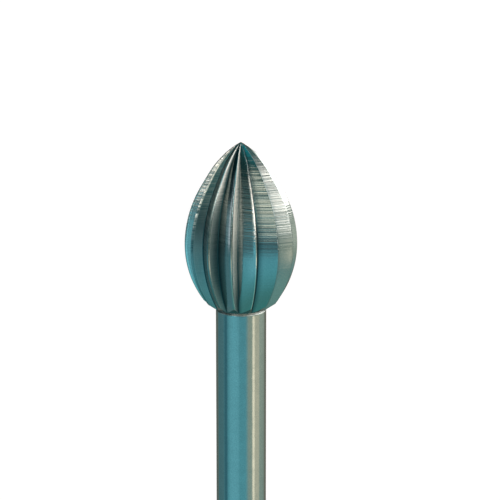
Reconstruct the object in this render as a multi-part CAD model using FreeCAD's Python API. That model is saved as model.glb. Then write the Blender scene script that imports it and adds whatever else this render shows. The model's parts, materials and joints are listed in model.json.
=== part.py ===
import FreeCAD, Part

import math
import os

from FreeCAD import Rotation, Vector

# A bud-shaped rotary bur, turned and ground from one steel rod, lying at rest.
# Lengths are in millimetres and angles in degrees.
# Heights are measured along the tool's axis, from the top of the plain shank towards the tip.

# Shank
SHANK_DIAMETER = 2.35
SHANK_LENGTH = 36.5
SHANK_END_CHAMFER = 0.2
NECK_CHAMFER = 0.07

# Head outline, as the cutting edges sweep it
HEAD_DIAMETER = 5.2
HEAD_LENGTH = 8.0
BELLY_HEIGHT = 3.17
CORNER_HEIGHT = 0.5
LOWER_ARC_RADIUS = 4.48
UPPER_ARC_RADIUS = 5.42
FLANK_ANGLE = 30.7
FLANK_LENGTH = 0.7

# Teeth, with the lengths of their section as they are at the belly
TOOTH_COUNT = 14
FLUTE_DEPTH = 0.51
ROOT_OFFSET_ANGLE = 5.7
BACK_TURN_ANGLE = 6.0
FLUTE_EXIT_STEP = 0.125

# Sections that the teeth are lofted through, evenly spaced below and above the belly
LOWER_SECTION_COUNT = 3
UPPER_SECTION_COUNT = 7
LOFT_DEGREE = 3
POINT_RADIUS = 0.1

# Heights tried in the search for the tilt at which the tool rests
REST_TRY_COUNT = 2000

SHANK_RADIUS = SHANK_DIAMETER / 2
HEAD_RADIUS = HEAD_DIAMETER / 2
TOOTH_PITCH = 360.0 / TOOTH_COUNT
FLANK_TURN = math.radians(FLANK_ANGLE)
FLANK_FOOT_RADIUS = HEAD_RADIUS - UPPER_ARC_RADIUS * (1 - math.cos(FLANK_TURN))
FLANK_FOOT_HEIGHT = BELLY_HEIGHT + UPPER_ARC_RADIUS * math.sin(FLANK_TURN)
FLANK_TOP_RADIUS = FLANK_FOOT_RADIUS - FLANK_LENGTH * math.sin(FLANK_TURN)
FLANK_TOP_HEIGHT = FLANK_FOOT_HEIGHT + FLANK_LENGTH * math.cos(FLANK_TURN)


def arc_drop(radius, distance):
    """How far an arc falls away from its crown at a distance along the axis."""
    return radius - math.sqrt(radius ** 2 - distance ** 2)


def crowned_arc_radius(drop, distance):
    """Radius of the arc that falls by a drop over a distance from its crown."""
    return (drop ** 2 + distance ** 2) / (2 * drop)


def nose_arc():
    """Centre and radius of the arc that leaves the flank smoothly and ends in the point."""
    inward_radius = -math.cos(FLANK_TURN)
    inward_height = -math.sin(FLANK_TURN)
    run = HEAD_LENGTH - FLANK_TOP_HEIGHT
    chord_squared = FLANK_TOP_RADIUS ** 2 + run ** 2
    depth = -FLANK_TOP_RADIUS * inward_radius + run * inward_height
    radius = chord_squared / (2 * depth)
    return FLANK_TOP_RADIUS + radius * inward_radius, FLANK_TOP_HEIGHT + radius * inward_height, radius


NOSE_CENTRE_RADIUS, NOSE_CENTRE_HEIGHT, NOSE_ARC_RADIUS = nose_arc()


def edge_radius(height):
    """Radius that the cutting edges sweep at a height."""
    if height < BELLY_HEIGHT:
        return HEAD_RADIUS - arc_drop(LOWER_ARC_RADIUS, BELLY_HEIGHT - height)
    if height < FLANK_FOOT_HEIGHT:
        return HEAD_RADIUS - arc_drop(UPPER_ARC_RADIUS, height - BELLY_HEIGHT)
    if height < FLANK_TOP_HEIGHT:
        return FLANK_FOOT_RADIUS - (height - FLANK_FOOT_HEIGHT) * math.tan(FLANK_TURN)
    return NOSE_CENTRE_RADIUS + math.sqrt(NOSE_ARC_RADIUS ** 2 - (height - NOSE_CENTRE_HEIGHT) ** 2)


CORNER_RADIUS = edge_radius(CORNER_HEIGHT)
CONE_FOOT_RADIUS = SHANK_RADIUS - NECK_CHAMFER
CONE_SLOPE = (CORNER_HEIGHT - NECK_CHAMFER) / (CORNER_RADIUS - CONE_FOOT_RADIUS)
ROOT_BELLY_RADIUS = HEAD_RADIUS - FLUTE_DEPTH
ROOT_EXIT_RADIUS = SHANK_RADIUS + FLUTE_EXIT_STEP
ROOT_EXIT_HEIGHT = NECK_CHAMFER + (ROOT_EXIT_RADIUS - CONE_FOOT_RADIUS) * CONE_SLOPE
ROOT_ARC_RADIUS = crowned_arc_radius(ROOT_BELLY_RADIUS - ROOT_EXIT_RADIUS, BELLY_HEIGHT - ROOT_EXIT_HEIGHT)


def root_radius(height):
    """Radius of the corner at the bottom of the flutes at a height."""
    if height < BELLY_HEIGHT:
        return ROOT_BELLY_RADIUS - arc_drop(ROOT_ARC_RADIUS, BELLY_HEIGHT - height)
    return edge_radius(height) * ROOT_BELLY_RADIUS / HEAD_RADIUS


def height_at_nose_radius(radius):
    """Height in the nose at which the cutting edges sweep a small radius."""
    return NOSE_CENTRE_HEIGHT + math.sqrt(NOSE_ARC_RADIUS ** 2 - (radius - NOSE_CENTRE_RADIUS) ** 2)


def polar(radius, angle, height):
    """A point at a radius and an angle round the axis."""
    turn = math.radians(angle)
    return Vector(radius * math.cos(turn), radius * math.sin(turn), height)


def turned(vector, angle):
    """A vector turned in the plane across the axis."""
    return Rotation(Vector(0, 0, 1), angle).multVec(vector)


def tangent_arc(start, direction, end):
    """The arc that leaves its start in a direction and runs to its end."""
    chord = end - start
    turn = direction.getAngle(chord)
    sideways = direction - chord * (direction.dot(chord) / chord.dot(chord))
    middle = (start + end) * 0.5 + sideways.normalize() * (chord.Length / 2 * math.tan(turn / 2))
    return Part.Arc(start, middle, end)


def tooth_curves(height, edge_angle):
    """The section from one cutting edge to the next: the flat steep rake and the bulged back."""
    rim = edge_radius(height)
    edge = polar(rim, edge_angle, height)
    next_edge = polar(rim, edge_angle + TOOTH_PITCH, height)
    root = polar(root_radius(height), edge_angle + ROOT_OFFSET_ANGLE, height)
    along_back = turned((next_edge - root).normalize(), -BACK_TURN_ANGLE)
    return [
        Part.LineSegment(edge, root),
        tangent_arc(root, along_back, next_edge),
    ]


def head_section(height):
    """The whole toothed section at a height."""
    curves = []
    for tooth in range(TOOTH_COUNT):
        curves += tooth_curves(height, tooth * TOOTH_PITCH)
    return Part.Wire([curve.toShape() for curve in curves])


def spread(start, end, count):
    """Heights from start up to, but not including, end, in equal steps."""
    return [start + (end - start) * step / count for step in range(count)]


def revolved(outline):
    """The solid that an outline of radius and height pairs sweeps round the axis."""
    corners = [Vector(radius, 0, height) for radius, height in outline]
    face = Part.Face(Part.makePolygon(corners + corners[:1]))
    return face.revolve(Vector(0, 0, 0), Vector(0, 0, 1), 360)


def make_head():
    """The teeth, lofted from the neck to the point and turned back to the end cone."""
    last_height = height_at_nose_radius(POINT_RADIUS)
    heights = spread(NECK_CHAMFER, BELLY_HEIGHT, LOWER_SECTION_COUNT)
    heights += spread(BELLY_HEIGHT, last_height, UPPER_SECTION_COUNT) + [last_height]
    sections = [head_section(height) for height in heights]
    sections.append(Part.Vertex(0, 0, HEAD_LENGTH))
    teeth = Part.makeLoft(sections, True, False, False, LOFT_DEGREE)

    wide_radius = HEAD_DIAMETER
    wide_height = NECK_CHAMFER + (wide_radius - CONE_FOOT_RADIUS) * CONE_SLOPE
    high = HEAD_LENGTH + wide_height
    end_cone = revolved([
        (0, NECK_CHAMFER),
        (CONE_FOOT_RADIUS, NECK_CHAMFER),
        (wide_radius, wide_height),
        (wide_radius, high),
        (0, high),
    ])
    return teeth.common(end_cone)


def make_shank():
    """The plain shank, with a chamfer at its free end and a small one at the neck."""
    return revolved([
        (0, -SHANK_LENGTH),
        (SHANK_RADIUS - SHANK_END_CHAMFER, -SHANK_LENGTH),
        (SHANK_RADIUS, SHANK_END_CHAMFER - SHANK_LENGTH),
        (SHANK_RADIUS, 0),
        (CONE_FOOT_RADIUS, NECK_CHAMFER),
        (0, NECK_CHAMFER),
    ])


def rest_tilt():
    """Tilt of the axis when two cutting edges and the shank's end rim touch a flat surface."""
    edge_share = math.cos(math.radians(TOOTH_PITCH / 2))
    rim_height = SHANK_END_CHAMFER - SHANK_LENGTH
    heights = spread(CORNER_HEIGHT, FLANK_FOOT_HEIGHT, REST_TRY_COUNT)
    slopes = [(edge_radius(h) * edge_share - SHANK_RADIUS) / (h - rim_height) for h in heights]
    return math.degrees(math.atan(max(slopes)))


def lay_down(shape):
    """Lay the tool along +X on two neighbouring cutting edges, over the middle of its own box."""
    shape.rotate(Vector(0, 0, 0), Vector(0, 0, 1), TOOTH_PITCH / 2)
    shape.rotate(Vector(0, 0, 0), Vector(0, 1, 0), 90 - rest_tilt())
    box = shape.optimalBoundingBox(False)
    shape.translate(Vector(-box.Center.x, -box.Center.y, -box.ZMin))
    return shape


bur = lay_down(make_head().fuse(make_shank()))
os.makedirs("parts", exist_ok=True)
bur.exportStep("parts/bur.step")
print("solids", len(bur.Solids), "valid", bur.isValid(), "volume", round(bur.Volume, 3))
print("rest tilt", round(rest_tilt(), 4), "neck at", bur.Placement.Base)
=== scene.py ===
import json
import math

import bmesh
import bpy
from mathutils import Matrix, Vector


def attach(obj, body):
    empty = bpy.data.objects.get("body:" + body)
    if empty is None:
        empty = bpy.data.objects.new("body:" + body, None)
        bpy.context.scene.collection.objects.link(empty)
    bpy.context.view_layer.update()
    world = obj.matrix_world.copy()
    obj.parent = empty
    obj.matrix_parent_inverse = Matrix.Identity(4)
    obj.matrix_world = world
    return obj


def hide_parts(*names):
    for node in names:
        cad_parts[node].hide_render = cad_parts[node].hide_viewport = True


# A bud-shaped jewelry bur of ground steel, lying on a pale floor.
# Places and sizes are in metres and angles in radians, but the studio's directions are in degrees.
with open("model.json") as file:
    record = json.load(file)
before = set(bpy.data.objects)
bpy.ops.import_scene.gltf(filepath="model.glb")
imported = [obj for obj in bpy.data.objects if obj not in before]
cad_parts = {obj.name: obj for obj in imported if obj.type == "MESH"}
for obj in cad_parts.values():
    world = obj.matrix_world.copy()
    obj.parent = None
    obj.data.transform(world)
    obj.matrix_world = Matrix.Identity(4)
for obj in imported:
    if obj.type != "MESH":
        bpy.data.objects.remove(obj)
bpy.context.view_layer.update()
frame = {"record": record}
bpy.ops.object.select_all(action="DESELECT")

MM = 0.001

# The tool's own axis, from its shank's mounts in the frame
MOUNTS = {mount["name"]: mount for mount in frame["record"]["mounts"]}
SHANK_END = Vector(MOUNTS["shank_end"]["pos_m"])
AXIS = -Vector(MOUNTS["shank_end"]["axis"]).normalized()
SHANK_RADIUS = MOUNTS["shank"]["dims"]["r_mm"] * MM
SHANK_LENGTH = 36.5 * MM
NECK = SHANK_END + AXIS * SHANK_LENGTH

# The turned outline, with heights from the top of the plain shank
SHANK_END_CHAMFER = 0.2 * MM
NECK_CHAMFER = 0.07 * MM
HEAD_RADIUS = 2.6 * MM
HEAD_LENGTH = 8.0 * MM
BELLY_HEIGHT = 3.17 * MM
CORNER_HEIGHT = 0.5 * MM
LOWER_ARC_RADIUS = 4.48 * MM
UPPER_ARC_RADIUS = 5.42 * MM
FLANK_ANGLE = math.radians(30.7)
FLANK_LENGTH = 0.7 * MM

# The rim where the shank meets the end cone, as fine as in the photo
RIM_CHAMFER = 0.035 * MM

# The ground teeth
TOOTH_COUNT = 14
TOOTH_PITCH = math.tau / TOOTH_COUNT
FLUTE_DEPTH = 0.51 * MM
ROOT_TURN = math.radians(5.7)
EDGE_ROUND_ON_BACK = 0.06 * MM
EDGE_ROUND_ON_RAKE = 0.13 * MM
ROOT_ROUND = 0.045 * MM
EDGE_LIFT = 0.036 * MM
BACK_HALF_TURN = math.radians(6.0)
FLUTE_EXIT_STEP = 0.125 * MM
RAKE_LENGTH = 0.55 * MM
BACK_LENGTH = 0.96 * MM
POINT_RADIUS = 0.09 * MM
RUN_OUT_RADIUS = 0.3 * MM

# Steps of one tooth's section: round of the edge, flat rake, round of the root and bulged back
EDGE_END = 5
RAKE_END = 8
ROOT_END = 12
TOOTH_STEPS = 18
NECK_STEPS = 4
RING_COUNT = 110

# Above the corner, the rings turn level over this height, from the wavy line where the flutes run out
FADE_HEIGHT = 0.7 * MM

# Care taken in the outline's length and in the run-out, and the sharpest turn that is shaded smooth
OUTLINE_SAMPLES = 4000
HALVING_COUNT = 40
ROUNDING = 1e-12
HAIR = 0.001 * MM
SMOOTH_TURN = math.radians(25)


def arc_drop(radius, distance):
    """How far an arc falls away from its crown at a distance along the axis."""
    return radius - math.sqrt(radius ** 2 - distance ** 2)


FLANK_FOOT_RADIUS = HEAD_RADIUS - UPPER_ARC_RADIUS * (1 - math.cos(FLANK_ANGLE))
FLANK_FOOT_HEIGHT = BELLY_HEIGHT + UPPER_ARC_RADIUS * math.sin(FLANK_ANGLE)
FLANK_TOP_RADIUS = FLANK_FOOT_RADIUS - FLANK_LENGTH * math.sin(FLANK_ANGLE)
FLANK_TOP_HEIGHT = FLANK_FOOT_HEIGHT + FLANK_LENGTH * math.cos(FLANK_ANGLE)


def nose_arc():
    """Centre and radius of the arc that leaves the flank smoothly and ends in the point."""
    run = HEAD_LENGTH - FLANK_TOP_HEIGHT
    depth = FLANK_TOP_RADIUS * math.cos(FLANK_ANGLE) - run * math.sin(FLANK_ANGLE)
    radius = (FLANK_TOP_RADIUS ** 2 + run ** 2) / (2 * depth)
    centre_radius = FLANK_TOP_RADIUS - radius * math.cos(FLANK_ANGLE)
    centre_height = FLANK_TOP_HEIGHT - radius * math.sin(FLANK_ANGLE)
    return centre_radius, centre_height, radius


NOSE_CENTRE_RADIUS, NOSE_CENTRE_HEIGHT, NOSE_ARC_RADIUS = nose_arc()


def edge_radius(height):
    """Radius that the cutting edges sweep at a height."""
    if height < BELLY_HEIGHT:
        return HEAD_RADIUS - arc_drop(LOWER_ARC_RADIUS, BELLY_HEIGHT - height)
    if height < FLANK_FOOT_HEIGHT:
        return HEAD_RADIUS - arc_drop(UPPER_ARC_RADIUS, height - BELLY_HEIGHT)
    if height < FLANK_TOP_HEIGHT:
        return FLANK_FOOT_RADIUS - (height - FLANK_FOOT_HEIGHT) * math.tan(FLANK_ANGLE)
    return NOSE_CENTRE_RADIUS + math.sqrt(NOSE_ARC_RADIUS ** 2 - (height - NOSE_CENTRE_HEIGHT) ** 2)


CONE_FOOT_RADIUS = SHANK_RADIUS - NECK_CHAMFER
CONE_SLOPE = (CORNER_HEIGHT - NECK_CHAMFER) / (edge_radius(CORNER_HEIGHT) - CONE_FOOT_RADIUS)
RIM_TOP_RADIUS = SHANK_RADIUS - RIM_CHAMFER
RIM_TOP_HEIGHT = NECK_CHAMFER + (RIM_TOP_RADIUS - CONE_FOOT_RADIUS) * CONE_SLOPE
RIM_HEIGHT = RIM_TOP_HEIGHT - RIM_CHAMFER
ROOT_BELLY_RADIUS = HEAD_RADIUS - FLUTE_DEPTH
ROOT_EXIT_RADIUS = SHANK_RADIUS + FLUTE_EXIT_STEP
ROOT_EXIT_HEIGHT = NECK_CHAMFER + (ROOT_EXIT_RADIUS - CONE_FOOT_RADIUS) * CONE_SLOPE
ROOT_DROP = ROOT_BELLY_RADIUS - ROOT_EXIT_RADIUS
ROOT_RUN = BELLY_HEIGHT - ROOT_EXIT_HEIGHT
ROOT_ARC_RADIUS = (ROOT_DROP ** 2 + ROOT_RUN ** 2) / (2 * ROOT_DROP)


def smooth_share(value, low, high):
    """How far a value is on its way from low to high, eased at both ends."""
    share = min(max((value - low) / (high - low), 0), 1)
    return share * share * (3 - 2 * share)


def root_radius(height):
    """Radius at the bottom of the flutes, which run out at the neck and just below the point."""
    if height < BELLY_HEIGHT:
        return ROOT_BELLY_RADIUS - arc_drop(ROOT_ARC_RADIUS, BELLY_HEIGHT - height)
    rim = edge_radius(height)
    depth = smooth_share(rim, POINT_RADIUS, RUN_OUT_RADIUS)
    return rim * (1 - depth * FLUTE_DEPTH / HEAD_RADIUS)


def polar(radius, angle):
    """A point at a radius and an angle round the axis."""
    return Vector((radius * math.cos(angle), radius * math.sin(angle)))


def arc_point(start, end, half_turn, share):
    """A point on the arc from start to end; a positive half turn bulges it to the left."""
    chord = end - start
    angle = half_turn * (2 * share - 1)
    along = 0.5 + math.sin(angle) / (2 * math.sin(half_turn))
    aside = (math.cos(angle) - math.cos(half_turn)) / (2 * math.sin(half_turn))
    return start + chord * along + Vector((-chord.y, chord.x)) * aside


def corner_point(start, corner, end, share):
    """A point on the round that leaves a line at its start and joins the next at its end."""
    return start * (1 - share) ** 2 + corner * 2 * share * (1 - share) + end * share ** 2


def section_point(step, height):
    """Corner of a tooth's section, from its rounded edge down the rake and up its back."""
    rim = edge_radius(height)
    scale = rim / HEAD_RADIUS
    back_share = EDGE_ROUND_ON_BACK / BACK_LENGTH
    rake_share = EDGE_ROUND_ON_RAKE / RAKE_LENGTH
    root_share = ROOT_ROUND / RAKE_LENGTH
    root_back_share = ROOT_ROUND / BACK_LENGTH
    edge = polar(rim + EDGE_LIFT * scale, 0)
    root = polar(root_radius(height), ROOT_TURN)
    next_edge = Matrix.Rotation(TOOTH_PITCH, 2) @ edge
    last_root = Matrix.Rotation(-TOOTH_PITCH, 2) @ root
    rake_top = edge.lerp(root, rake_share)
    rake_foot = edge.lerp(root, 1 - root_share)
    if step < EDGE_END:
        back_top = arc_point(last_root, edge, -BACK_HALF_TURN, 1 - back_share)
        return corner_point(back_top, edge, rake_top, step / EDGE_END)
    if step < RAKE_END:
        return rake_top.lerp(rake_foot, (step - EDGE_END) / (RAKE_END - EDGE_END))
    if step < ROOT_END:
        back_foot = arc_point(root, next_edge, -BACK_HALF_TURN, root_back_share)
        return corner_point(rake_foot, root, back_foot, (step - RAKE_END) / (ROOT_END - RAKE_END))
    share = (step - ROOT_END) / (TOOTH_STEPS - ROOT_END)
    share = root_back_share + share * (1 - root_back_share - back_share)
    return arc_point(root, next_edge, -BACK_HALF_TURN, share)


def cone_radius(height):
    """Radius of the end cone, from which the head rises, at a height."""
    return CONE_FOOT_RADIUS + (height - NECK_CHAMFER) / CONE_SLOPE


def junction_height(step):
    """Height at which a tooth's surface meets the end cone."""
    low, high = NECK_CHAMFER, CORNER_HEIGHT
    for _ in range(HALVING_COUNT):
        middle = (low + high) / 2
        if section_point(step, middle).length > cone_radius(middle):
            low = middle
        else:
            high = middle
    return (low + high) / 2


JUNCTION_HEIGHTS = [junction_height(step) for step in range(TOOTH_STEPS)]


def ring_heights():
    """Heights of the rings from the corner to the point, evenly spaced along the outline."""
    top = NOSE_CENTRE_HEIGHT + math.sqrt(NOSE_ARC_RADIUS ** 2 - (POINT_RADIUS - NOSE_CENTRE_RADIUS) ** 2)
    span = top - CORNER_HEIGHT
    heights = [CORNER_HEIGHT + span * sample / OUTLINE_SAMPLES for sample in range(OUTLINE_SAMPLES + 1)]
    run = [0.0]
    for below, above in zip(heights, heights[1:]):
        run.append(run[-1] + math.hypot(above - below, edge_radius(above) - edge_radius(below)))
    rings = []
    for ring in range(RING_COUNT + 1):
        goal = run[-1] * ring / RING_COUNT
        rings.append(next(height for height, length in zip(heights, run) if length >= goal - ROUNDING))
    return rings


def tooth_corner(column, level):
    """Place of a ring's corner on the teeth, in the tool's own frame."""
    tooth, step = divmod(column, TOOTH_STEPS)
    fade = max(0, 1 - (level - CORNER_HEIGHT) / FADE_HEIGHT)
    height = level - (CORNER_HEIGHT - JUNCTION_HEIGHTS[step]) * fade
    place = Matrix.Rotation(tooth * TOOTH_PITCH, 2) @ section_point(step, height)
    return Vector((place.x, place.y, height))


def plain_corner(column, radius, height):
    """Place of a ring's corner on the plain turned part, in line with the teeth's corners."""
    tooth, step = divmod(column, TOOTH_STEPS)
    place = section_point(step, JUNCTION_HEIGHTS[step])
    place = Matrix.Rotation(tooth * TOOTH_PITCH, 2) @ place.normalized() * radius
    return Vector((place.x, place.y, height))


def edit_shape():
    """The mesh that is open in edit mode."""
    return bmesh.from_edit_mesh(bpy.context.edit_object.data)


def place_ring(place):
    """Put each corner of the selected top face where place says for its column."""
    shape = edit_shape()
    column = shape.verts.layers.int["column"]
    for corner in shape.verts:
        if corner.select:
            corner.co = place(corner[column])
    bmesh.update_edit_mesh(bpy.context.edit_object.data, loop_triangles=False)


def raise_ring(place):
    """Extrude the selected top face by one ring."""
    bpy.ops.mesh.extrude_region_move()
    place_ring(place)


def model_bur():
    """The whole tool, drawn up ring by ring from the end of its shank to its point."""
    column_count = TOOTH_COUNT * TOOTH_STEPS
    bpy.ops.mesh.primitive_circle_add(
        vertices=column_count,
        radius=SHANK_RADIUS - SHANK_END_CHAMFER,
        fill_type="NGON",
        location=(0, 0, 0),
    )
    piece = bpy.context.object
    piece.name = "bur_steel"
    bpy.ops.object.mode_set(mode="EDIT")
    shape = edit_shape()
    column = shape.verts.layers.int.new("column")
    for corner in shape.verts:
        corner[column] = corner.index
    bpy.ops.mesh.select_all(action="SELECT")
    plain_rings = [
        (SHANK_RADIUS - SHANK_END_CHAMFER, -SHANK_LENGTH),
        (SHANK_RADIUS, SHANK_END_CHAMFER - SHANK_LENGTH),
        (SHANK_RADIUS, RIM_HEIGHT - NECK_CHAMFER),
    ]
    below = Vector((SHANK_RADIUS, RIM_HEIGHT - RIM_CHAMFER / 2))
    corner = Vector((SHANK_RADIUS, RIM_HEIGHT))
    above = Vector((SHANK_RADIUS - RIM_CHAMFER / 2, RIM_HEIGHT + RIM_CHAMFER / 2))
    plain_rings += [corner_point(below, corner, above, step / NECK_STEPS) for step in range(NECK_STEPS + 1)]
    plain_rings.append((RIM_TOP_RADIUS, RIM_TOP_HEIGHT))
    place_ring(lambda c: plain_corner(c, *plain_rings[0]))
    for radius, height in plain_rings[1:]:
        raise_ring(lambda c: plain_corner(c, radius, height))
    for level in ring_heights():
        raise_ring(lambda c: tooth_corner(c, level))
    bpy.ops.mesh.extrude_region_move()
    bpy.ops.mesh.merge(type="CENTER")
    shape = edit_shape()
    for corner in shape.verts:
        if corner.select:
            corner.co = (0, 0, HEAD_LENGTH)
    bpy.ops.mesh.select_all(action="SELECT")
    bpy.ops.mesh.normals_make_consistent(inside=False)
    finish_faces(edit_shape())
    bpy.ops.object.mode_set(mode="OBJECT")
    return piece


def finish_faces(shape):
    """Give each face its finish and its place: teeth round the axis, and millimetres along it."""
    column = shape.verts.layers.int["column"]
    place = shape.loops.layers.uv.new("place")
    half_way_round = TOOTH_STEPS * TOOTH_COUNT / 2
    for face in shape.faces:
        columns = [corner[column] for corner in face.verts if corner.co.z < HEAD_LENGTH]
        wraps = max(columns) - min(columns) > half_way_round
        for loop in face.loops:
            turns = loop.vert[column] if loop.vert.co.z < HEAD_LENGTH else columns[0]
            if wraps and turns < half_way_round:
                turns += 2 * half_way_round
            loop[place].uv = (turns / TOOTH_STEPS, loop.vert.co.z / MM)
        if min(corner.co.z for corner in face.verts) < RIM_TOP_HEIGHT + HAIR:
            continue
        last_step = max(number % TOOTH_STEPS for number in columns)
        first_step = min(number % TOOTH_STEPS for number in columns)
        on_rake = EDGE_END <= first_step and last_step <= ROOT_END
        face.material_index = 2 if on_rake else 1


def lay_down(piece):
    """Turn the tool from its own frame into the row's, and set it on its axis."""
    tilt = math.acos(AXIS.x)
    lying = Matrix.Rotation(math.pi / 2 - tilt, 4, "Y") @ Matrix.Rotation(TOOTH_PITCH / 2, 4, "Z")
    piece.matrix_world = Matrix.Translation(NECK) @ lying
    bpy.ops.object.transform_apply(location=True, rotation=True, scale=True)


bur = model_bur()
lay_down(bur)
bpy.ops.object.shade_smooth_by_angle(angle=SMOOTH_TURN)
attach(bur, "root")
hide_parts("bur")


class Number:
    """A socket that gives a number or a colour. Sums and products of numbers add Math nodes."""

    def __init__(self, nodes, socket):
        self.nodes = nodes
        self.socket = socket

    def maths(self, operation, *values):
        """Add a Math node that works on the values."""
        return self.nodes.add("Math", {"operation": operation}, dict(enumerate(values)))

    def __add__(self, other):
        return self.maths("ADD", self, other)

    def __sub__(self, other):
        return self.maths("SUBTRACT", self, other)

    def __mul__(self, other):
        return self.maths("MULTIPLY", self, other)

    def __truediv__(self, other):
        return self.maths("DIVIDE", self, other)

    def __rsub__(self, other):
        return self.maths("SUBTRACT", other, self)

    __radd__ = __add__
    __rmul__ = __mul__


NOISE_KIND = {"Detail": 2, "Roughness": 0.6}


class Nodes:
    """The node tree of a material or of the world."""

    def __init__(self, tree):
        self.tree = tree
        tree.nodes.clear()

    def add(self, kind, settings, inputs, output=0):
        """Add a node of a kind, with its settings first and then its sockets' values or links."""
        node = self.tree.nodes.new("ShaderNode" + kind)
        for name, setting in settings.items():
            if name == "stops":
                self.set_stops(node.color_ramp, setting)
            else:
                setattr(node, name, setting)
        for name, value in inputs.items():
            if isinstance(value, Number):
                self.tree.links.new(value.socket, node.inputs[name])
            else:
                node.inputs[name].default_value = value
        return Number(self, node.outputs[output]) if node.outputs else None

    @staticmethod
    def set_stops(ramp, stops):
        """Give a colour ramp its stops, from the first to the last."""
        while len(ramp.elements) < len(stops):
            ramp.elements.new(1)
        for element, (place, colour) in zip(ramp.elements, stops):
            element.position = place
            element.color = colour

    def eased(self, value, low, high):
        """0 below low and 1 above high, eased between them."""
        ends = {"Value": value, "From Min": low, "From Max": high}
        return self.add("MapRange", {"interpolation_type": "SMOOTHSTEP"}, ends)

    def between(self, value, low, high, soft):
        """1 from low to high, with soft ends."""
        past_low = self.eased(value, low - soft, low + soft)
        past_high = self.eased(value, high - soft, high + soft)
        return past_low * (1 - past_high)

    def mix(self, share, first, second):
        """A colour mixed from two, by the node's sockets for colours."""
        inputs = {0: share, 6: first, 7: second}
        return self.add("Mix", {"data_type": "RGBA"}, inputs, output=2)

    def noise(self, across, along):
        """Noise from 0 to 1 that changes once or so for each unit across and along."""
        spot = self.add("CombineXYZ", {}, {"X": across, "Y": along})
        return self.add("TexNoise", {}, {"Vector": spot, "Scale": 1} | NOISE_KIND)

    def grain(self, size):
        """Noise in all directions, with grains of a size in metres."""
        spot = self.add("TexCoord", {}, {}, "Object")
        return self.add("TexNoise", {}, {"Vector": spot, "Scale": 1 / size} | NOISE_KIND)

    def place(self):
        """The tooth's number, the share of its section, and the height in millimetres above the neck."""
        place = self.add("UVMap", {"uv_map": "place"}, {})
        turns = self.add("SeparateXYZ", {}, {"Vector": place}, "X")
        height = self.add("SeparateXYZ", {}, {"Vector": place}, "Y")
        tooth = turns.maths("FLOOR", turns)
        return tooth, turns - tooth, height


def srgb(red, green, blue):
    """A colour as a picture gives it, from 0 to 255, in linear light."""
    def linear(level):
        level = level / 255
        return level / 12.92 if level <= 0.04045 else ((level + 0.055) / 1.055) ** 2.4
    return (linear(red), linear(green), linear(blue), 1)


# Steel, whose bright end also gives painted light and whose dull teal end also gives painted shade
BRIGHT_STEEL_AND_PAINTED_LIGHT = (0.94, 0.87, 0.82, 1)
DULL_STEEL_AND_PAINTED_SHADE = (0.05, 0.108, 0.12, 1)
EDGE_TINT = (0.6, 0.6, 0.6, 1)
BACK_ROOT_SHARE = ROOT_END / TOOTH_STEPS
RAKE_TOP_SHARE = EDGE_END / TOOTH_STEPS
RAKE_FOOT_SHARE = RAKE_END / TOOTH_STEPS

# Grains of the steel, and the grinding lines for each millimetre along the tool
STEEL_GRAIN = 0.06 * MM
SHANK_BLOTCH = 0.5 * MM
BACK_GRAIN = 0.07 * MM
RAKE_GRAIN = 0.05 * MM
SHANK_LINES = 22
COARSE_LINES = 7
MIDDLE_LINES = 14
FINE_LINES = 27

# Each finish on its own: how polished, how much painted shade it has and how rough it is, from 0 to 1
SHANK_POLISH = 0.5
SHANK_ROUGHNESS = 0.11
BACK_POLISH = 0.47
BACK_ROUGHNESS = 0.13
RAKE_PAINTED_SHADE = 0.56
RAKE_ROUGHNESS = 0.35

# Heights over which a finish and its painted light and shade change, in millimetres above the neck
BACK_PAINTED_SHADE_BAND = (1.9, 3.1)
BACK_LINED = (2.7, 3.6)
BACK_UPPER = (3.3, 4.7)
BACK_RAGGED = (4.1, 5.1)
BACK_TOP_PAINTED_SHADE = (5.2, 6.2)
BACK_TIP = (6.1, 7.0)
RAKE_NECK = (0.5, 2.4)
RAKE_UPPER = (3.0, 4.6)
RAKE_LINED = (4.6, 5.8)
RAKE_TIP = (5.2, 6.6)
RIM_BAND = ((RIM_HEIGHT - RIM_CHAMFER / 2) / MM, RIM_TOP_HEIGHT / MM)

# Teeth that stand out in view, by number; each is the first of a wave or the top of a peak over the teeth
# Most of these teeth carry painted light and shade: painted glints on the edge of tooth 6 and painted
# dashes on the edge of tooth 3, painted shade near the neck on rake 6 and in bands on backs 5 and 8, and
# painted light on rake 3 and at the tip of rake 5. The matt and smooth backs, the ragged edge and the dull
# rake also differ in roughness or relief.
MATT_BACK = 8
SMOOTH_BACK = 5
RAGGED_EDGE = 3
PAINTED_GLINT_EDGE = 6
DULL_RAKE_WITH_PAINTED_SHADE = 6
PAINTED_LIGHT_RAKE = 3


def steel(name, finish):
    """A steel whose finish gives how bright it is, with painted light and shade included, how rough it is,
    and its relief in millimetres.
    """
    material = bpy.data.materials.new(name)
    material.use_nodes = True
    nodes = Nodes(material.node_tree)
    polish_and_painted_light, roughness, relief = finish(nodes)
    polish_and_painted_light = polish_and_painted_light * (nodes.grain(STEEL_GRAIN) * 0.5 + 0.75)
    bump = nodes.add("Bump", {}, {"Height": relief, "Distance": MM, "Strength": 1})
    shader = nodes.add("BsdfPrincipled", {}, {
        "Base Color": nodes.mix(polish_and_painted_light, DULL_STEEL_AND_PAINTED_SHADE, BRIGHT_STEEL_AND_PAINTED_LIGHT),
        "Metallic": 1,
        "Specular Tint": EDGE_TINT,
        "Roughness": roughness,
        "Normal": bump,
    })
    nodes.add("OutputMaterial", {}, {"Surface": shader})
    return material


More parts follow.
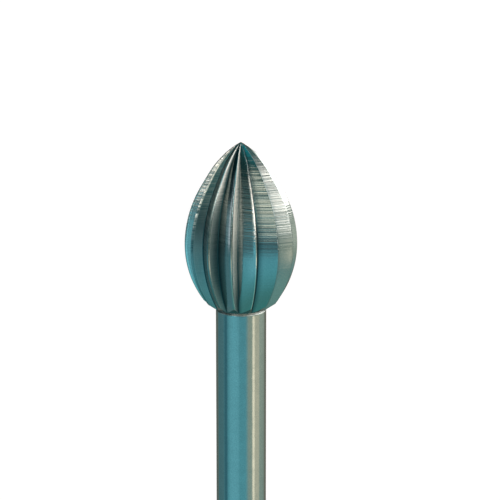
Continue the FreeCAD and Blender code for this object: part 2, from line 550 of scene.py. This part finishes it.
def turning_lines(nodes, tooth, share, height):
    """Relief and darkness of the uneven grinding lines, of which each tooth has its own."""
    coarse = nodes.noise(tooth * 7.3 + share * 0.02, height * COARSE_LINES)
    middle = nodes.noise(tooth * 6.1 + share * 0.03, height * MIDDLE_LINES)
    brushed = nodes.noise(tooth * 5.1 + share * 0.12, height * FINE_LINES)
    steps = nodes.eased(coarse, 0.45, 0.55) * 0.0045 + nodes.eased(middle, 0.43, 0.57) * 0.006
    dark = nodes.eased(middle, 0.48, 0.6) * 0.5 + nodes.eased(brushed, 0.48, 0.62) * 0.5
    return steps + brushed * 0.008, dark


def tooth_wave(tooth, first, period=4):
    """A wave over the teeth: 0 at the first tooth, and as it was after a period of teeth."""
    turn = (tooth - first) * (math.tau / period)
    return turn.maths("SINE", turn)


def tooth_peak(tooth, top, period=4):
    """1 at the top tooth and again after a period of teeth, with half of each period at 0."""
    wave = tooth_wave(tooth, top - period / 4, period)
    return wave.maths("MAXIMUM", wave, 0)


def shank_finish(nodes):
    """The fine ground shank and end cone, with a rougher rim between them that is painted darker to dim its
    highlight.
    """
    height = nodes.place()[2]
    lines = nodes.noise(0, height * SHANK_LINES)
    blotches = nodes.grain(SHANK_BLOTCH)
    rim = nodes.between(height, *RIM_BAND, 0.01)
    # Painted shade: the rim is darkened to dim the highlight on it.
    polish_and_painted_light = (SHANK_POLISH - blotches * 0.1) * (1 - rim * 0.25) + lines * 0.03
    roughness = blotches * 0.06 + rim * 0.25 + SHANK_ROUGHNESS
    return polish_and_painted_light, roughness, lines * 0.001 + blotches * 0.003


def back_finish(nodes):
    """The lined backs, with the rounds of the edges, whose painted glints are brighter or dimmer from tooth
    to tooth, and with painted shade towards the roots and in bands on some backs.
    """
    tooth, share, height = nodes.place()
    tip = nodes.eased(height, *BACK_TIP)
    upper = nodes.eased(height, *BACK_UPPER)
    matt_and_painted_shade = tooth_peak(tooth, MATT_BACK)
    smooth_and_painted_shade = tooth_peak(tooth, SMOOTH_BACK)
    ragged_with_painted_glints = tooth_peak(tooth, RAGGED_EDGE, 8) * nodes.eased(height, *BACK_RAGGED)
    edge = 1 - nodes.eased(share, RAKE_TOP_SHARE, RAKE_TOP_SHARE + 0.05)
    root = 1 - nodes.eased(share, BACK_ROOT_SHARE - 0.02, BACK_ROOT_SHARE + 0.12)

    relief, dark = turning_lines(nodes, tooth, share, height)
    dark = dark * nodes.eased(height, *BACK_LINED) * (1 - tip * 0.6)
    # Painted shade: some backs are dimmed in height bands, and every back is darkened towards the flute's
    # root, but not on the round of the edge.
    painted_dimming = nodes.between(height, *BACK_PAINTED_SHADE_BAND, 0.4) * matt_and_painted_shade * 0.1
    painted_dimming = painted_dimming + nodes.eased(height, *BACK_TOP_PAINTED_SHADE) * smooth_and_painted_shade * 0.2
    polish_and_painted_light = BACK_POLISH - dark * (matt_and_painted_shade * 0.14 + 0.17) - (root * 0.3 + painted_dimming) * (1 - edge)

    # Painted highlights and shade on the rounds of the edges: their glints are made brighter or dimmer from
    # tooth to tooth, darker near the tip, and dashed along the ragged edge.
    edge_painted_glint = tooth_wave(tooth, PAINTED_GLINT_EDGE) * 0.3 - tooth_wave(tooth, 3.5, 2) * 0.12 - 0.08
    edge_painted_glint = edge_painted_glint + tooth_peak(tooth, PAINTED_GLINT_EDGE) * (1 - upper) * 0.25
    edge_painted_glint = edge_painted_glint - tooth_wave(tooth, 5, 6) * upper * 0.15
    edge_painted_glint = edge_painted_glint - tip * (tooth_wave(tooth, 5) * 0.45 + 0.45)
    edge_painted_glint = edge_painted_glint + ragged_with_painted_glints * (0.6 - dark * 1.4)

    strength = (upper * 0.92 + 0.08) * (1 - tip * 0.6)
    relief = relief * strength * (1 - edge * (0.7 - ragged_with_painted_glints * 0.6)) * (1 - smooth_and_painted_shade * 0.8)
    relief = relief + nodes.grain(BACK_GRAIN) * 0.002
    roughness = strength * 0.04 + matt_and_painted_shade * 0.14 + BACK_ROUGHNESS
    return polish_and_painted_light + edge * edge_painted_glint, roughness, relief


def rake_finish(nodes):
    """The matt rakes, with painted shade that changes from tooth to tooth and deepens towards the root and,
    on some teeth, near the neck, and painted light just below the edge and at some tips.
    """
    tooth, share, height = nodes.place()
    upper = nodes.eased(height, *RAKE_UPPER)
    tip = nodes.eased(height, *RAKE_TIP)
    lined = nodes.eased(height, *RAKE_LINED)
    neck = 1 - nodes.eased(height, *RAKE_NECK)
    wave = tooth_wave(tooth, 4)
    late_wave = tooth_wave(tooth, 5)
    late = tooth_peak(tooth, DULL_RAKE_WITH_PAINTED_SHADE)
    tip_painted_light = tip * tooth_peak(tooth, SMOOTH_BACK)
    top = nodes.eased(share, RAKE_TOP_SHARE - 0.03, RAKE_TOP_SHARE + 0.02)
    towards_root = nodes.eased(share, RAKE_TOP_SHARE, RAKE_FOOT_SHARE + 0.05)
    root = nodes.eased(share, RAKE_FOOT_SHARE - 0.01, RAKE_FOOT_SHARE + 0.04)

    relief, dark = turning_lines(nodes, tooth + 0.4, share, height)
    # Painted shade: the rake is darkened by an amount that changes from tooth to tooth and with height. It
    # is deeper towards the root and near the neck on some teeth, and lighter at some tips and on a lined
    # part. The grinding lines add their own darkness.
    lines_and_painted_shade = RAKE_PAINTED_SHADE + wave * 0.14 - late_wave * (upper * 0.26 + 0.22) - tooth_wave(tooth, 3.5, 2) * 0.11
    lines_and_painted_shade = lines_and_painted_shade - lined * tooth_peak(tooth, PAINTED_LIGHT_RAKE) * 0.3 + neck * (late * 0.6 - 0.1)
    lines_and_painted_shade = lines_and_painted_shade + towards_root * (late_wave * 0.2 + 0.15) + root * 0.4
    lines_and_painted_shade = lines_and_painted_shade - tip_painted_light * (0.55 - towards_root * 0.75)
    lines_and_painted_shade = lines_and_painted_shade + dark * (lined * (0.25 - wave * 0.55) + 0.05)
    # Painted light: just below the edge the painted shade is weaker.
    polish_and_painted_light = 1 - lines_and_painted_shade * (top * 0.6 + 0.4)

    relief = relief * (lined * 0.3 + 0.1) + nodes.grain(RAKE_GRAIN) * 0.001
    roughness = wave * 0.12 + late * 0.26 + RAKE_ROUGHNESS
    return polish_and_painted_light, roughness, relief


bur.data.materials.append(steel("shank_steel", shank_finish))
bur.data.materials.append(steel("back_steel", back_finish))
bur.data.materials.append(steel("rake_steel", rake_finish))

# Floor, which glows white as the photo's background does and isn't mirrored in the steel
FLOOR_SIZE = 2
FLOOR_COLOUR = (0.2, 0.13, 0.13, 1)
FLOOR_GLOW = 0.95

bpy.ops.mesh.primitive_plane_add(size=FLOOR_SIZE, location=(0, 0, 0))
floor = bpy.context.object
floor.name = "floor"
pale = bpy.data.materials.new("pale")
pale.use_nodes = True
surface = pale.node_tree.nodes["Principled BSDF"].inputs
surface["Base Color"].default_value = FLOOR_COLOUR
surface["Roughness"].default_value = 1
surface["Specular IOR Level"].default_value = 0
surface["Emission Color"].default_value = (1, 1, 1, 1)
surface["Emission Strength"].default_value = FLOOR_GLOW
floor.visible_glossy = False
floor.data.materials.append(pale)

# Camera, over the head and a little towards the tip
CAMERA_DISTANCE = 100 * MM
CAMERA_RISE = math.radians(14.2)
CAMERA_ROUND = math.radians(3.143)
AIM_HEIGHT = 2.9 * MM
AIM_ASIDE = 0.417 * MM
LENS = 155.5
NEAR_CLIP = 5 * MM
FAR_CLIP = 10

square_up = Vector((-AXIS.z, 0, AXIS.x))
facing = square_up * math.cos(CAMERA_ROUND) + Vector((0, 1, 0)) * math.sin(CAMERA_ROUND)
image_right = AXIS.cross(facing)
aim = NECK + AXIS * AIM_HEIGHT + image_right * AIM_ASIDE
back = facing * math.cos(CAMERA_RISE) + AXIS * math.sin(CAMERA_RISE)
image_up = AXIS * math.cos(CAMERA_RISE) - facing * math.sin(CAMERA_RISE)
turn = Matrix((image_right, image_up, back)).transposed().to_4x4()
bpy.ops.object.camera_add()
camera = bpy.context.object
camera.data.lens = LENS
camera.matrix_world = Matrix.Translation(aim + back * CAMERA_DISTANCE) @ turn
camera.data.clip_start = NEAR_CLIP
camera.data.clip_end = FAR_CLIP
bpy.context.scene.camera = camera

# Studio, which is seen only in the steel: bands by their height towards the point, and soft cards before
# them, each with its azimuths and heights in degrees, softness, colour and strength
STEEL_GLOSS = 0.46
SEEN_BACKDROP = (0.93, 0.93, 0.93, 1)
STUDIO_BANDS = [
    (-90, (45, 112, 110)),
    (-60, (56, 108, 108)),
    (-52, (57, 113, 115)),
    (-42, (64, 124, 130)),
    (-33, (68, 133, 142)),
    (-21, (72, 136, 148)),
    (-16, (71, 133, 145)),
    (-12, (68, 113, 121)),
    (-9.5, (60, 88, 94)),
    (0, (54, 78, 83)),
    (5, (68, 88, 90)),
    (12, (104, 119, 112)),
    (18, (100, 114, 108)),
    (28, (60, 85, 84)),
    (43, (26, 56, 57)),
    (60, (28, 72, 74)),
    (74, (24, 104, 112)),
    (90, (20, 124, 134)),
]
STUDIO_CARDS = [
    ((-200, -128), (-90, 55), 6, (90, 102, 97), 1),
    ((128, 200), (-90, 55), 6, (107, 110, 101), 1),
    ((-128, -84), (-50, 12), 7, (64, 103, 110), 1),
    ((-134, -96), (12, 60), 4, (4, 30, 34), 1),
    ((-84, -42), (22, 60), 6, (16, 44, 45), 1),
    ((-96, -84), (-8, 26), 4, (160, 176, 184), 1),
    ((-84, -66), (-30, -10), 5, (44, 90, 102), 1),
    ((-54, -10), (-32, -13), 5, (84, 148, 161), 1),
    ((-42, -22), (-13, -3), 3, (92, 166, 180), 1),
    ((-36, -22), (12, 44), 3, (255, 250, 240), 2.2),
    ((-12, 34), (14, 32), 6, (214, 219, 202), 1.35),
    ((46, 132), (-62, -28), 8, (90, 128, 124), 1),
    ((28, 132), (-26, 2), 9, (120, 137, 127), 1),
    ((88, 132), (-15, 0), 5, (156, 168, 158), 1),
    ((54, 92), (-23, -14), 2, (164, 166, 148), 1),
    ((54, 65), (-23, -14), 1.5, (222, 219, 196), 1),
    ((37, 130), (8, 33), 5, (252, 250, 243), 1.9),
    ((80, 136), (12, 30), 8, (255, 255, 250), 3.2),
]
world = bpy.data.worlds.new("studio")
bpy.context.scene.world = world
world.use_nodes = True
nodes = Nodes(world.node_tree)
way = nodes.add("TexCoord", {}, {}, "Generated")


def along(direction):
    """How far the mirrored way points in a direction."""
    return nodes.add("VectorMath", {"operation": "DOT_PRODUCT"}, {0: way, 1: direction}, "Value")


azimuth = along(image_right).maths("ARCTAN2", along(image_right), along(facing)) * math.degrees(1)
rise = along(AXIS)
rise = rise.maths("ARCSINE", rise) * math.degrees(1)
stops = [((height + 90) / 180, srgb(*colour)) for height, colour in STUDIO_BANDS]
light = nodes.add("ValToRGB", {"stops": stops}, {"Fac": (rise + 90) / 180})
for (left, right), (low, high), soft, colour, strength in STUDIO_CARDS:
    mask = nodes.between(azimuth, left, right, soft) * nodes.between(rise, low, high, soft)
    glow = [level * strength for level in srgb(*colour)[:3]] + [1]
    light = nodes.mix(mask, light, glow)
to_camera = nodes.add("LightPath", {}, {}, "Is Camera Ray")
reflected = nodes.add("Background", {}, {"Color": light, "Strength": 1 / STEEL_GLOSS})
seen = nodes.add("Background", {}, {"Color": SEEN_BACKDROP, "Strength": 1})
either = nodes.add("MixShader", {}, {0: to_camera, 1: reflected, 2: seen})
nodes.add("OutputWorld", {}, {"Surface": either})
bpy.context.scene.view_settings.view_transform = "Standard"
